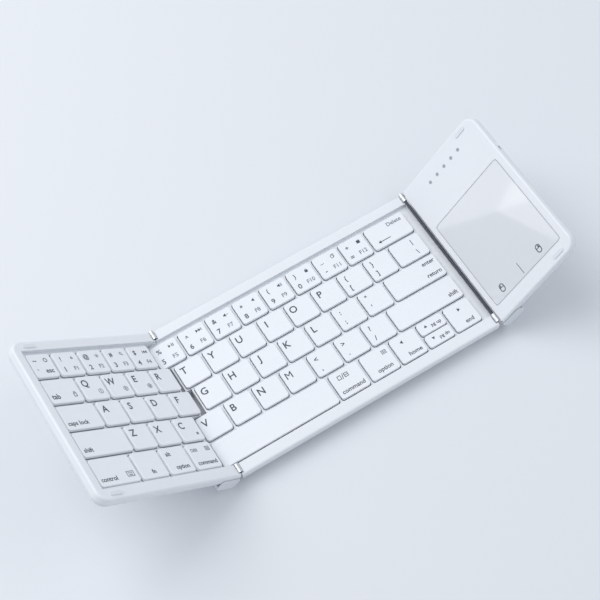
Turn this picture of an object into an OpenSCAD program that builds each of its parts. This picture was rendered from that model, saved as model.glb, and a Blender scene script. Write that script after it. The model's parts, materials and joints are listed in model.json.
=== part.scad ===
// Three-panel folding keyboard: a centre panel with keys, a left wing with keys and a right wing with a touchpad.
// Millimetres, +Z up. The origin is the centre of the centre panel's case underside, +X to the right wing.
// Each wing is drawn flat, with its hinge axis at x = 0 and x growing outwards, and is then turned about that axis.

/* [Panels] */
// Front to back depth of every panel
panel_depth = 98; // [94:1:106]
// Thickness of a panel from underside to rim top
panel_h = 7; // [6.8:0.1:8]
// Distance between the two hinge axes
hinge_span = 164.4; // [160:0.2:172]
// Length of the left wing from its hinge axis to its outer face
left_wing_w = 99.3; // [96:0.1:104]
// Space left between the two wings' outer faces when both are closed
closed_gap = 0.4; // [0.3:0.1:1]
// Plan radius of the wings' outer corners
corner_r = 7; // [5:0.5:9]
// Edge radius along the underside
bottom_edge_r = 3; // [2:0.1:3.2]
// Edge radius along the rim top
top_edge_r = 1.3; // [0.8:0.1:1.6]
// Thickness of a case floor
floor_t = 1; // [0.8:0.1:1.2]
// Width of the solid ledge along the front and back of a case, which takes the screws
ledge_w = 4.8; // [4.6:0.1:5.6]
// Width of the front rim in front of the key field
front_rim = 7; // [6.4:0.1:8]
// Width of the back rim behind the key field
back_rim = 6.2; // [5.8:0.1:7]
// Thickness of the outer end walls
end_wall = 2.4; // [2:0.1:3]

/* [Pose] */
// Angle by which the left wing is raised from flat
left_angle = 43.2; // [0:0.1:90]
// Angle by which the right wing is raised from flat
right_angle = 50.2; // [0:0.1:90]

/* [Keys] */
// Depth of the key field below the rim top
recess = 2.5; // [2.3:0.1:2.7]
// Thickness of the key deck
deck_t = 1.2; // [1:0.1:1.4]
// Key tops below the rim top
key_sink = 0.5; // [0.4:0.1:0.7]
// Downward travel of a key
key_travel = 1.2; // [0.8:0.1:1.2]
// Corner radius of a key cap
key_r = 1.5; // [1:0.1:2]
// Bevel around the top of a key cap
key_bevel = 0.3; // [0.2:0.05:0.4]
// Wall thickness of a key cap
cap_wall = 0.9; // [0.7:0.1:1.1]
// Gap between neighbouring keys in a row
key_gap = 1.8; // [1.6:0.1:2.2]
// Gap between rows
row_gap = 1.74; // [1.5:0.02:2.2]
// Extra depth of the front row
front_row_extra = 1.3; // [0:0.1:2]
// Clearance between a key cap and its well
well_clear = 0.35; // [0.25:0.05:0.45]
// Key field margin along the front rim
front_margin = 1.23; // [1:0.01:2]
// Key field margin along the back rim
back_margin = 2.33; // [1.5:0.01:3]
// Key field margin along the right hinge
right_margin = 4.9; // [4.5:0.1:6]
// Key field margin at the left wing's outer face, its end rim included
outer_margin = 5.2; // [5:0.1:7]
// Width of the left wing's end rim
end_rim = 4.8; // [4.2:0.1:4.8]
// Width of the delete key
delete_w = 27.3; // [24:0.1:30]
// Width of the command keys
command_w = 19.8; // [18:0.1:21]
// Width of the option keys
option_w = 19.3; // [18:0.1:21]
// Width of an arrow key
arrow_w = 17.9; // [17:0.1:19]

/* [Stagger at the left hinge] */
// How far the centre panel's number row reaches past the hinge axis
number_reach = 6.95; // [6:0.05:7]
// Reach of the second row
upper_reach = 0.7; // [-0.5:0.1:1.2]
// Reach of the home row, which stops short of the axis
home_reach = -2.5; // [-3:0.1:-2]
// Reach of the two front rows
front_reach = 6.4; // [5.5:0.1:6.6]
// Extra distance between the keys on the two sides of the split
split_extra = 0.9; // [0.7:0.1:1.2]
// Width of the split between the two covers
split_gap = 0.5; // [0.4:0.1:0.7]

/* [Hinges] */
// Height of the hinge axes above the rim top
axis_above_rim = 0.3; // [0.3:0.05:0.6]
// Radius of the hinge pins
pin_r = 0.8; // [0.6:0.05:0.9]
// Radius of the hinge knuckles
knuckle_r = 1.3; // [1.2:0.05:1.5]
// Length of a pair of knuckles
knuckle_l = 5.2; // [4.6:0.1:5.4]
// Thickness of the hinge leaves
leaf_t = 0.6; // [0.4:0.1:0.7]
// Length of a leaf's foot inside the case
leaf_l = 7; // [5:0.5:9]
// Rim left in front of the front knuckles
front_cheek = 1.8; // [1.5:0.1:2]
// Radial running clearance of a pin
pin_clear = 0.05; // [0.03:0.01:0.08]
// Free space around the knuckles
knuckle_clear = 0.4; // [0.3:0.05:0.5]
// Radial clearance between the panels' noses and the hinge housings
nose_clear = 0.3; // [0.3:0.05:0.5]
// Depth of a hinge housing below the wing
housing_drop = 3; // [2:0.1:4]
// Width of a hinge housing beyond the axis
housing_w = 13.3; // [11:0.1:16]
// How far a hinge housing reaches under the centre panel
housing_lip = 0.8; // [0.4:0.1:1]
// How far a housing's end cheeks stand out
cheek_out = 0.7; // [0.6:0.1:1]
// Height of a housing's end cheeks below the rim top
cheek_drop = 2.6; // [2:0.1:3.2]

/* [Touchpad wing] */
// Distance from the hinge axis to the touchpad
pad_x = 5.1; // [5:0.1:6]
// Distance from the touchpad to the wing's outer face
pad_side = 4.7; // [4.6:0.1:8]
// Distance from the front face to the touchpad
pad_front_y = 8.4; // [8:0.1:12]
// Distance from the back face to the touchpad
pad_back_y = 30.4; // [28:0.1:36]
// Corner radius of the touchpad
pad_r = 2.5; // [1.5:0.1:4]
// Thickness of the touchpad plate
pad_t = 0.8; // [0.6:0.1:1]
// Thickness of its sensor board
pad_board_t = 1; // [0.8:0.1:1.2]
// Gap around the touchpad
pad_gap = 0.15; // [0.12:0.01:0.3]
// Thickness of the right cover
cover_t = 1.4; // [1.2:0.1:1.6]
// Radius of an indicator light guide
guide_r = 0.6; // [0.4:0.1:0.8]
// Spacing of the indicators
guide_pitch = 6.45; // [5:0.05:7]
// Number of indicators
guide_count = 5; // [3:1:6]
// Travel of the power switch
switch_travel = 2.4; // [1.5:0.1:3]

/* [Small parts] */
// Radius of a foot
foot_r = 4; // [3:0.1:4.2]
// Depth of the seat that a foot is glued into
foot_seat = 0.3; // [0.2:0.05:0.4]
// Head radius of a case screw
screw_head_r = 1.25; // [1:0.05:1.3]
// Thread radius of a case screw
screw_r = 0.7; // [0.5:0.05:0.8]
// Length of a bumper on a rim
bumper_l = 8; // [6:0.5:10]
// Width of a bumper
bumper_w = 2; // [1.5:0.1:2.4]
// Height of a bumper
bumper_h = 0.5; // [0.3:0.05:0.55]
// Length of a magnet
magnet_l = 7; // [5:0.5:8]
// Width of a magnet
magnet_w = 2.4; // [2:0.1:2.6]
// Height of a magnet
magnet_h = 1.8; // [1.2:0.1:2.2]

/* [Hidden] */
$fn = 48;
slip = 0.05;
over = 0.01;
half_depth = panel_depth / 2;
axis_x = hinge_span / 2;
axis_z = panel_h + axis_above_rim;
right_wing_w = hinge_span - left_wing_w - closed_gap;
deck_z = panel_h - recess;
split_z = deck_z - deck_t;
key_z = panel_h - key_sink;
cap_gap = 0.1;
cap_z = deck_z + cap_gap;
well_front = -half_depth + front_rim;
well_back = half_depth - back_rim;
// The nose is the part of the centre panel that is rounded about the axis, and the trough is what it nests in
nose_r = axis_z + 0.2;
trough_r = nose_r + nose_clear;
foot_h = housing_drop;

// Rows run from the number row at the back to the space row at the front
row_pitch = (well_back - back_margin - well_front - front_margin + row_gap - front_row_extra) / 5;
key_d = row_pitch - row_gap;
space_d = key_d + front_row_extra;
space_y = well_front + front_margin;
function row_y(row) = row == 4 ? space_y : space_y + front_row_extra + (4 - row) * row_pitch;
function row_depth(row) = row == 4 ? space_d : key_d;
// Height of the line between a row and the one behind it
function row_line(row) = row_y(row) + row_depth(row) + row_gap / 2;

reach = [number_reach, upper_reach, home_reach, front_reach, front_reach];
keys_right = axis_x - right_margin;
key_pitch = (keys_right + axis_x + number_reach - delete_w) / 8;
keys_outer = left_wing_w - outer_margin;
space_w = keys_right + axis_x + front_reach - command_w - option_w - 3 * arrow_w;
centre_singles = [8, 8, 7, 7];
left_singles = [4, 4, 4, 3];

// A row's cells as [start, width]; the last cell fills the row up to its end
function run(start, widths, i = 0) =
    i == len(widths) ? [] : concat([[start, widths[i]]], run(start + widths[i], widths, i + 1));
function row_cells(start, finish, singles) =
    run(start, concat([for (i = [1:singles]) key_pitch], [finish - start - singles * key_pitch]));
function centre_cells(row) =
    row < 4 ? row_cells(-axis_x - reach[row], keys_right, centre_singles[row])
    : run(-axis_x - reach[4], [space_w, command_w, option_w, arrow_w, arrow_w, arrow_w]);
function left_start(row) = reach[row] + split_extra;
function left_cells(row) =
    row < 4 ? row_cells(left_start(row), keys_outer, left_singles[row])
    : run(left_start(4), [command_w, option_w, command_w,
        keys_outer - left_start(4) - 2 * command_w - option_w]);
// A key as [x, y, width, depth]
function key_of(cell, row) =
    [cell[0] + key_gap / 2, row_y(row), cell[1] - key_gap, row_depth(row)];
function row_keys(cells, row, first, last) = [for (i = [first:last]) key_of(cells[i], row)];
arrow_gap = 0.8;
half_d = (space_d - arrow_gap) / 2;
function arrow_key(upper) = let (k = key_of(centre_cells(4)[4], 4))
    [k[0], k[1] + (upper ? half_d + arrow_gap : 0), k[2], half_d];

// Keys of each key node
number_keys = row_keys(centre_cells(0), 0, 0, 7);
delete_keys = row_keys(centre_cells(0), 0, 8, 8);
upper_keys = row_keys(centre_cells(1), 1, 0, 8);
home_keys = row_keys(centre_cells(2), 2, 0, 6);
enter_keys = row_keys(centre_cells(2), 2, 7, 7);
lower_keys = row_keys(centre_cells(3), 3, 0, 6);
right_shift_keys = row_keys(centre_cells(3), 3, 7, 7);
space_keys = row_keys(centre_cells(4), 4, 0, 0);
side_keys = concat(row_keys(centre_cells(4), 4, 1, 3), row_keys(centre_cells(4), 4, 5, 5));
up_keys = [arrow_key(true)];
down_keys = [arrow_key(false)];
left_number_row = row_keys(left_cells(0), 0, 0, 4);
left_upper_row = row_keys(left_cells(1), 1, 0, 3);
tab_keys = row_keys(left_cells(1), 1, 4, 4);
left_home_row = row_keys(left_cells(2), 2, 0, 3);
caps_keys = row_keys(left_cells(2), 2, 4, 4);
left_lower_row = row_keys(left_cells(3), 3, 0, 2);
left_shift_keys = row_keys(left_cells(3), 3, 3, 3);
left_front_row = row_keys(left_cells(4), 4, 0, 2);
control_keys = row_keys(left_cells(4), 4, 3, 3);
centre_keys = concat(number_keys, delete_keys, upper_keys, home_keys, enter_keys, lower_keys, right_shift_keys,
    space_keys, side_keys, up_keys, down_keys);
left_keys = concat(left_number_row, left_upper_row, tab_keys, left_home_row, caps_keys, left_lower_row,
    left_shift_keys, left_front_row, control_keys);

// Layers under the keys
plate_t = 0.5;
sheet_slack = 0.2;
film_t = 0.3;
plate_z = floor_t;
film_z = plate_z + plate_t;
switch_z = film_z + film_t;
cap_under = key_z - cap_wall;
dome_h = cap_under - switch_z - 0.2;

// Hinge knuckles: the inner half of each pair belongs to the centre panel, the outer half to the wing
half_knuckle = knuckle_l / 2 - slip;
front_knuckle_y = -half_depth + front_cheek;
back_knuckle_y = half_depth - knuckle_l;
centre_knuckles_y = [front_knuckle_y + knuckle_l / 2 + slip, back_knuckle_y];
wing_knuckles_y = [front_knuckle_y, back_knuckle_y + knuckle_l / 2 + slip];
pocket_clear = 0.1;
// Rounding of the hinge housings, and the gap between their cheeks and the panels' ends
lip_r = 0.7;
cheek_gap = 0.2;
cheek_inner_r = 1.5;
cheek_outer_r = 2.5;

// Screws and feet sit in the ledges, magnets below the bumpers
screw_inset = 3.7;
ledge_y = half_depth - screw_inset;
screw_h = 4;
head_h = 0.9;
foot_clear = 0.1;
head_z = foot_seat + foot_clear;
foot_inset = screw_inset + 2.7;
foot_y = half_depth - foot_inset;
centre_screw_inset = 20.2;
housing_to_screw = 5.6;
left_screw_inset = 23;
right_screw_inset = 17.6;
centre_screw_x = [centre_screw_inset - axis_x, axis_x - centre_screw_inset];
left_screw_x = [housing_w + housing_to_screw, left_wing_w - left_screw_inset];
right_screw_x = [housing_w + housing_to_screw, right_wing_w - right_screw_inset];
bumper_inset = 11.3;
left_magnet_x = left_wing_w - bumper_inset;
right_magnet_x = right_wing_w - bumper_inset;
centre_magnet_x = [left_magnet_x - axis_x, axis_x - right_magnet_x];
magnet_y = ledge_y + 0.1;

// Touchpad wing
pad_w = right_wing_w - pad_x - pad_side;
pad_d = panel_depth - pad_front_y - pad_back_y;
pad_front = -half_depth + pad_front_y;
pad_back = pad_front + pad_d;
pad_z = panel_h - pad_t;
pad_board_z = pad_z - pad_board_t;
pad_board_inset = 2;
pivot_y = pad_back - pad_board_inset - 1;
pivot_r = 0.8;
right_inner = 1.7;
right_cavity_x = 4.2;
cavity_back = half_depth - ledge_w;
board_t = 0.8;
board_z = floor_t + 0.4;
board_top = board_z + board_t;
board_front = pad_back + 2.4;
board_x = 13;
board_end = 7.3;
board_w = right_wing_w - end_wall - board_end - board_x;
battery_h = 2.8;
battery_end = 6;
battery_x = right_cavity_x + battery_end;
battery_w = right_wing_w - end_wall - battery_end - battery_x;
battery_gap = 4;
post_r = 1.5;
post_inset = 4;
rib_inset = 6;
shield_w = 14;
shield_d = 11;
shield_h = 1.6;
shield_inset = 3;
chip_w = 6;
chip_h = 1;
chip_inset = 12;
tongue_clear = 0.4;
tongue_w = 7.6;
usb_w = 8.9;
usb_h = 3.2;
usb_l = 7.4;
usb_x = (right_screw_x[0] + right_screw_x[1]) / 2;
switch_back_y = 25.5;
switch_y = half_depth - switch_back_y;
switch_slot = switch_travel + 3;
switch_nub = 2.6;
switch_h = 1.4;
nub_out = 0.25;
guide_x = usb_x - (guide_count - 1) / 2 * guide_pitch;
guide_inset = 9.6;
guide_y = half_depth - guide_inset;

// Placing

module on_left_wing() {
    translate([-axis_x, 0, axis_z]) rotate([0, left_angle, 0]) mirror([1, 0, 0]) translate([0, 0, -axis_z])
        children();
}

module on_right_wing() {
    translate([axis_x, 0, axis_z]) rotate([0, -right_angle, 0]) translate([0, 0, -axis_z]) children();
}

module along_x(x0, x1) {
    translate([x0, 0, 0]) rotate([90, 0, 90]) linear_extrude(x1 - x0) children();
}

module along_y(y0, y1) {
    translate([0, y1, 0]) rotate([90, 0, 0]) linear_extrude(y1 - y0) children();
}

module rod_y(x, z, r, y0, y1) {
    translate([x, y0, z]) rotate([-90, 0, 0]) cylinder(r = r, h = y1 - y0);
}

module block(x0, x1, y0, y1, z0, z1) {
    translate([x0, y0, z0]) cube([x1 - x0, y1 - y0, z1 - z0]);
}

// Shared outlines

// What a rounding of radius r removes at the corner in the origin of the first quadrant
module corner_cut(r) {
    difference() {
        translate([-over, -over]) square(r + over);
        translate([r, r]) circle(r);
    }
}

module rounded_rect(x, y, w, d, r) {
    translate([x + r, y]) square([w - 2 * r, d]);
    translate([x, y + r]) square([w, d - 2 * r]);
    for (cx = [x + r, x + w - r], cy = [y + r, y + d - r]) translate([cx, cy]) circle(r);
}

// Section of a panel from its underside to its rim top, with both of its long edges rounded
module panel_section() {
    difference() {
        translate([-half_depth, 0]) square([panel_depth, panel_h]);
        for (side = [0, 1]) mirror([side, 0]) translate([-half_depth, 0]) {
            corner_cut(bottom_edge_r);
            translate([0, panel_h]) mirror([0, 1]) corner_cut(top_edge_r);
        }
    }
}

// Section of an outer edge, from x = 0 inside to x = corner_r at the face
module edge_section() {
    difference() {
        square([corner_r, panel_h]);
        translate([corner_r, 0]) mirror([1, 0]) corner_cut(bottom_edge_r);
        translate([corner_r, panel_h]) mirror([1, 0]) mirror([0, 1]) corner_cut(top_edge_r);
    }
}

// Outer form of a wing from x = inner to its rounded outer end
module wing_form(inner, outer) {
    straight_y = half_depth - corner_r;
    along_x(inner, outer - corner_r) panel_section();
    translate([outer - corner_r, 0, 0]) along_y(-straight_y, straight_y) edge_section();
    translate([outer - corner_r, straight_y, 0]) rotate_extrude(angle = 90) edge_section();
    translate([outer - corner_r, -straight_y, 0]) rotate([0, 0, -90]) rotate_extrude(angle = 90) edge_section();
}

// Plan of the centre panel. Its left edge steps from row to row; inset moves every edge inwards
module centre_plan(inset, y_front, y_back, right) {
    function edge(row) = -axis_x - reach[row] - (split_extra - split_gap) / 2 + inset;
    rim_x = -axis_x + split_gap / 3 + inset;
    tab_back = well_back - split_gap / 2 - inset;
    number_y = row_line(1) + split_gap / 2 + inset;
    upper_y = row_line(2) + split_gap / 2 + inset;
    lower_y = row_line(3) - split_gap / 2 - inset;
    tab_front = well_front + split_gap / 2 + inset;
    polygon([
        [right, y_front], [right, y_back], [rim_x, y_back], [rim_x, tab_back],
        [edge(0), tab_back], [edge(0), number_y], [edge(1), number_y], [edge(1), upper_y],
        [edge(2), upper_y], [edge(2), lower_y], [edge(3), lower_y], [edge(3), tab_front],
        [rim_x, tab_front], [rim_x, y_front]
    ]);
}

// Plan of the left wing between its inner edge and x = outer; the tab rows are left to the trough
module left_plan(inset, y_front, y_back, outer) {
    function edge(row) = reach[row] + (split_extra + split_gap) / 2 + inset;
    rim_x = split_gap / 3 + inset;
    number_y = row_line(1) - split_gap / 2 - inset;
    upper_y = row_line(2) - split_gap / 2 - inset;
    lower_y = row_line(3) + split_gap / 2 + inset;
    polygon([
        [outer, y_front], [outer, y_back], [rim_x, y_back], [rim_x, number_y],
        [edge(1), number_y], [edge(1), upper_y], [edge(2), upper_y], [edge(2), lower_y],
        [rim_x, lower_y], [rim_x, y_front]
    ]);
}

// The space beyond the left axis that lies outside a nose of radius r
module beyond_nose(r) {
    difference() {
        block(-axis_x - 2 * r, -axis_x, -half_depth - 1, half_depth + 1, -1, axis_z);
        rod_y(-axis_x, axis_z, r, -half_depth - 2, half_depth + 2);
    }
}

// The troughs in the left wing that take the centre panel's tabs; inset widens them into the wing
module left_troughs(inset) {
    rod_y(0, axis_z, trough_r + inset, row_line(1) - split_gap / 2 - inset, well_back + inset);
    rod_y(0, axis_z, trough_r + inset, well_front - inset, row_line(3) + split_gap / 2 + inset);
}

// Hinges

// Room for knuckles at the rims' ends, about an axis at x = 0
module knuckle_room() {
    room_r = knuckle_r + knuckle_clear;
    rod_y(0, axis_z, room_r, front_knuckle_y - knuckle_clear, front_knuckle_y + knuckle_l + knuckle_clear);
    rod_y(0, axis_z, room_r, back_knuckle_y - knuckle_clear, half_depth + 1);
}

// Room for the leaves of the knuckles that start at each y, on the side where x is positive
module leaf_room(starts) {
    for (y = starts) {
        y0 = y - pocket_clear;
        y1 = y + half_knuckle + pocket_clear;
        block(-1, knuckle_r + pocket_clear, y0, y1, split_z - over, axis_z);
        block(0, leaf_l + pocket_clear, y0, y1, split_z - over, split_z + leaf_t + pocket_clear);
    }
}

// Knuckles with their leaves, which turn down from the barrel and run into the case along its parting plane
module knuckles(starts) {
    for (y = starts) {
        difference() {
            union() {
                rod_y(0, axis_z, knuckle_r, y, y + half_knuckle);
                block(knuckle_r - leaf_t, knuckle_r, y, y + half_knuckle, split_z, axis_z);
                block(knuckle_r - leaf_t, leaf_l, y, y + half_knuckle, split_z, split_z + leaf_t);
            }
            rod_y(0, axis_z, pin_r + pin_clear, y - 1, y + knuckle_l);
        }
    }
}

// Bar under a wing along its hinge. Its trough is concentric with the axis, and its cheeks cover the wing's ends
module hinge_housing() {
    end_y = half_depth + cheek_out;
    cheek_t = cheek_out - cheek_gap;
    color("whitesmoke") {
        along_y(-end_y, end_y) difference() {
            translate([-housing_lip, -housing_drop]) square([housing_w + housing_lip, housing_drop]);
            translate([0, axis_z]) circle(trough_r, $fn = 96);
            housing_corners();
        }
        for (side = [-1, 1]) translate([0, side * (end_y - cheek_t / 2), 0])
            along_y(-cheek_t / 2, cheek_t / 2) cheek_outline();
    }
}

// What is rounded off a housing's two lower corners
module housing_corners() {
    translate([-housing_lip, -housing_drop]) corner_cut(lip_r);
    translate([housing_w, -housing_drop]) mirror([1, 0]) corner_cut(housing_drop - cheek_gap);
}

// Side view of a housing's end cheek, with its outer top corner rounded off
module cheek_outline() {
    top = panel_h - cheek_drop;
    difference() {
        translate([-housing_lip, -housing_drop]) square([housing_w + housing_lip, top + housing_drop]);
        housing_corners();
        translate([-housing_lip, top]) mirror([0, 1]) corner_cut(cheek_inner_r);
        translate([housing_w, top]) mirror([1, 0]) mirror([0, 1]) corner_cut(cheek_outer_r);
    }
}

// Keys

module key_cap(key) {
    x = key[0];
    y = key[1];
    w = key[2];
    d = key[3];
    h = key_z - cap_z;
    difference() {
        intersection() {
            translate([0, 0, cap_z]) linear_extrude(h) rounded_rect(x, y, w, d, key_r);
            along_x(x - 1, x + w + 1) bevel_section(y, d);
            along_y(y - 1, y + d + 1) bevel_section(x, w);
        }
        block(x + cap_wall, x + w - cap_wall, y + cap_wall, y + d - cap_wall, cap_z - 1, cap_under);
    }
}

// Section of a key cap, with its two top edges bevelled
module bevel_section(start, length) {
    polygon([
        [start, cap_z], [start + length, cap_z], [start + length, key_z - key_bevel],
        [start + length - key_bevel, key_z], [start + key_bevel, key_z], [start, key_z - key_bevel]
    ]);
}

module key_caps(keys) {
    color("white") for (key = keys) key_cap(key);
}

module wells(keys) {
    for (key = keys) translate([0, 0, split_z - 1]) linear_extrude(deck_t + 2)
        rounded_rect(key[0] - well_clear, key[1] - well_clear, key[2] + 2 * well_clear, key[3] + 2 * well_clear,
            key_r);
}

// Collapsible rubber dome at the middle of each key
module domes(keys) {
    base_r = 2.6;
    neck_r = 1.5;
    skin = 0.4;
    for (key = keys) translate([key[0] + key[2] / 2, key[1] + key[3] / 2, switch_z]) rotate_extrude() polygon([
        [base_r, 0], [base_r, skin], [neck_r, dome_h - 0.6], [neck_r, dome_h], [0, dome_h],
        [0, dome_h - 1], [neck_r - skin, dome_h - 1], [base_r - 2 * skin, 0]
    ]);
}

// Two crossed frames that keep a key level, the inner one within the outer one. Half-height keys have none
module scissor_links(keys) {
    least_d = 10;
    reach_x = 4.4;
    bar = 0.6;
    rise = cap_under - switch_z - 0.5;
    tilt = atan2(rise - bar, 2 * reach_x - bar);
    length = sqrt(pow(rise - bar, 2) + pow(2 * reach_x - bar, 2));
    outer_y = min(5.6, key_d / 2 - cap_wall - 0.3);
    for (key = keys) if (key[3] > least_d) {
        frame_y = min(outer_y, key[3] / 2 - cap_wall - 0.3);
        translate([key[0] + key[2] / 2, key[1] + key[3] / 2, switch_z + (rise + 0.3) / 2]) {
            rotate([0, tilt, 0]) link_frame(length, frame_y, bar);
            rotate([0, -tilt, 0]) link_frame(length - 2 * bar - 0.4, frame_y - bar - 0.1, bar);
        }
    }
}

module link_frame(length, half_w, bar) {
    difference() {
        block(-length / 2, length / 2, -half_w, half_w, -bar / 2, bar / 2);
        block(-length / 2 + bar, length / 2 - bar, -half_w + bar, half_w - bar, -bar, bar);
    }
}

// Small parts that the panels share

module at_ledges(xs) {
    for (x = xs, side = [-1, 1]) translate([x, side * ledge_y, 0]) children();
}

module screw_holes(xs) {
    at_ledges(xs) {
        translate([0, 0, -1]) cylinder(r = screw_head_r + slip, h = head_z + head_h + 1);
        cylinder(r = screw_r + slip, h = head_z + head_h + screw_h + slip);
    }
}

module screws(xs) {
    color("gray") at_ledges(xs) difference() {
        union() {
            translate([0, 0, head_z]) cylinder(r = screw_head_r, h = head_h);
            translate([0, 0, head_z + head_h - over]) cylinder(r = screw_r, h = screw_h);
        }
        translate([0, 0, head_z - over]) cylinder(r = screw_r - 0.1, h = head_h / 2, $fn = 6);
    }
}

module feet(xs) {
    edge = 0.5;
    top = foot_h + foot_seat;
    color("lightgray") for (x = xs, side = [-1, 1]) translate([x, side * foot_y, -foot_h]) rotate_extrude() polygon([
        [0, 0], [foot_r - edge, 0], [foot_r, edge], [foot_r, top], [0, top]
    ]);
}

module foot_seats(xs) {
    for (x = xs, side = [-1, 1]) translate([x, side * foot_y, -1]) cylinder(r = foot_r + foot_clear, h = 1 + foot_seat);
}

module magnet_pockets(xs) {
    for (x = xs, side = [-1, 1]) translate([x, side * magnet_y, 0])
        block(-magnet_l / 2 - slip, magnet_l / 2 + slip, -magnet_w / 2 - slip, magnet_w / 2 + slip,
            split_z - over, split_z + magnet_h + slip);
}

module magnets(xs) {
    color("dimgray") for (x = xs, side = [-1, 1]) translate([x, side * magnet_y, 0])
        block(-magnet_l / 2, magnet_l / 2, -magnet_w / 2, magnet_w / 2, split_z, split_z + magnet_h);
}

module bumpers(x) {
    color("gainsboro") for (side = [-1, 1]) translate([0, 0, panel_h]) linear_extrude(bumper_h)
        rounded_rect(x - bumper_l / 2, side * magnet_y - bumper_w / 2, bumper_l, bumper_w, bumper_w / 2 - over);
}

// Centre panel

module centre_form() {
    intersection() {
        along_x(-axis_x - trough_r, axis_x) panel_section();
        translate([0, 0, -1]) linear_extrude(panel_h + 2)
            centre_plan(0, -half_depth - 1, half_depth + 1, axis_x - split_gap / 3);
    }
}

// Inside of the centre case between z and z + t, with a wall of the given width
module centre_inside(z, t, wall, slack) {
    difference() {
        translate([0, 0, z]) linear_extrude(t)
            centre_plan(wall + slack, -cavity_back + slack, cavity_back - slack, axis_x - end_wall - slack);
        beyond_nose(nose_r - wall - slack);
    }
}

module centre_bottom_case() {
    color("whitesmoke") difference() {
        centre_form();
        block(-axis_x - 20, axis_x + 1, -half_depth - 1, half_depth + 1, split_z, panel_h + 2);
        beyond_nose(nose_r);
        centre_inside(floor_t, split_z, floor_t, 0);
        screw_holes(centre_screw_x);
        foot_seats(centre_screw_x);
    }
}

module centre_top_cover() {
    color("white") difference() {
        centre_form();
        block(-axis_x - 20, axis_x + 1, -half_depth - 1, half_depth + 1, -1, split_z);
        beyond_nose(nose_r);
        block(-axis_x - 20, axis_x + 1, well_front, well_back, deck_z, panel_h + 2);
        wells(centre_keys);
        for (side = [0, 1]) mirror([side, 0, 0]) translate([-axis_x, 0, 0]) {
            knuckle_room();
            leaf_room(centre_knuckles_y);
        }
        screw_holes(centre_screw_x);
        magnet_pockets(centre_magnet_x);
    }
}

module centre_support_plate() {
    color("silver") centre_inside(plate_z, plate_t, floor_t, sheet_slack);
}

module centre_membrane() {
    color("lightgray") centre_inside(film_z, film_t, floor_t, sheet_slack);
}

module centre_rubber_domes() {
    color("ghostwhite") domes(centre_keys);
}

module centre_scissor_links() {
    color("gainsboro") scissor_links(centre_keys);
}

module centre_magnets() {
    magnets(centre_magnet_x);
}

module centre_screws() {
    screws(centre_screw_x);
}

module centre_feet() {
    feet(centre_screw_x);
}

module centre_knuckles() {
    color("silver") for (side = [0, 1]) mirror([side, 0, 0]) translate([-axis_x, 0, 0])
        knuckles(centre_knuckles_y);
}

module left_hinge_pins() {
    color("gray") for (y = [front_knuckle_y, back_knuckle_y])
        rod_y(-axis_x, axis_z, pin_r, y + slip, y + knuckle_l - slip);
}

module right_hinge_rod() {
    color("dimgray") rod_y(axis_x, axis_z, pin_r, front_knuckle_y + slip, half_depth - slip);
}

// Left wing, drawn flat

module left_form() {
    intersection() {
        wing_form(-split_gap / 2 + home_reach, left_wing_w);
        translate([0, 0, -1]) linear_extrude(panel_h + 2)
            left_plan(0, -half_depth - 1, half_depth + 1, left_wing_w + 1);
    }
}

module left_bottom_case() {
    color("whitesmoke") difference() {
        left_form();
        block(-20, left_wing_w + 1, -half_depth - 1, half_depth + 1, split_z, panel_h + 2);
        left_troughs(0);
        left_inside(floor_t, split_z, 0);
        screw_holes(left_screw_x);
        foot_seats(left_screw_x);
    }
}

// Inside of the left case between z and z + t
module left_inside(z, t, slack) {
    difference() {
        translate([0, 0, z]) linear_extrude(t)
            left_plan(floor_t + slack, -cavity_back + slack, cavity_back - slack, left_wing_w - end_rim - slack);
        left_troughs(floor_t + slack);
    }
}

module left_top_cover() {
    color("white") difference() {
        left_form();
        block(-20, left_wing_w + 1, -half_depth - 1, half_depth + 1, -1, split_z);
        left_troughs(0);
        block(-20, left_wing_w - end_rim, well_front, well_back, deck_z, panel_h + 2);
        wells(left_keys);
        knuckle_room();
        leaf_room(wing_knuckles_y);
        screw_holes(left_screw_x);
        magnet_pockets([left_magnet_x]);
    }
}

module left_support_plate() {
    color("silver") left_inside(plate_z, plate_t, sheet_slack);
}

module left_membrane() {
    color("lightgray") left_inside(film_z, film_t, sheet_slack);
}

// Right wing, drawn flat

module right_form() {
    wing_form(right_inner, right_wing_w);
}

module right_cavity(z0, z1) {
    block(right_cavity_x, right_wing_w - end_wall, -cavity_back, cavity_back, z0, z1);
}

module switch_window() {
    block(right_wing_w - end_wall - 1, right_wing_w + 1, switch_y - switch_slot / 2, switch_y + switch_slot / 2,
        board_top + 0.4, board_top + 0.4 + switch_h + 0.4);
}

module usb_window() {
    clear = 0.15;
    r = usb_h / 2 + clear;
    z = board_top + usb_h / 2;
    for (x = [usb_x - usb_w / 2 + usb_h / 2, usb_x + usb_w / 2 - usb_h / 2])
        rod_y(x, z, r, cavity_back - 1, half_depth + 1);
    block(usb_x - usb_w / 2 + usb_h / 2, usb_x + usb_w / 2 - usb_h / 2, cavity_back - 1, half_depth + 1, z - r, z + r);
}

module right_bottom_case() {
    color("whitesmoke") {
        difference() {
            right_form();
            block(0, right_wing_w + 1, -half_depth - 1, half_depth + 1, split_z, panel_h + 2);
            right_cavity(floor_t, split_z + 1);
            usb_window();
            switch_window();
            screw_holes(right_screw_x);
            foot_seats(right_screw_x);
        }
        pivot_rib();
        for (x = [board_x + post_inset, board_x + board_w - post_inset],
            y = [board_front + post_inset, cavity_back - post_inset])
            translate([x, y, floor_t - over]) cylinder(r = post_r, h = board_z - floor_t + over);
    }
}

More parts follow.
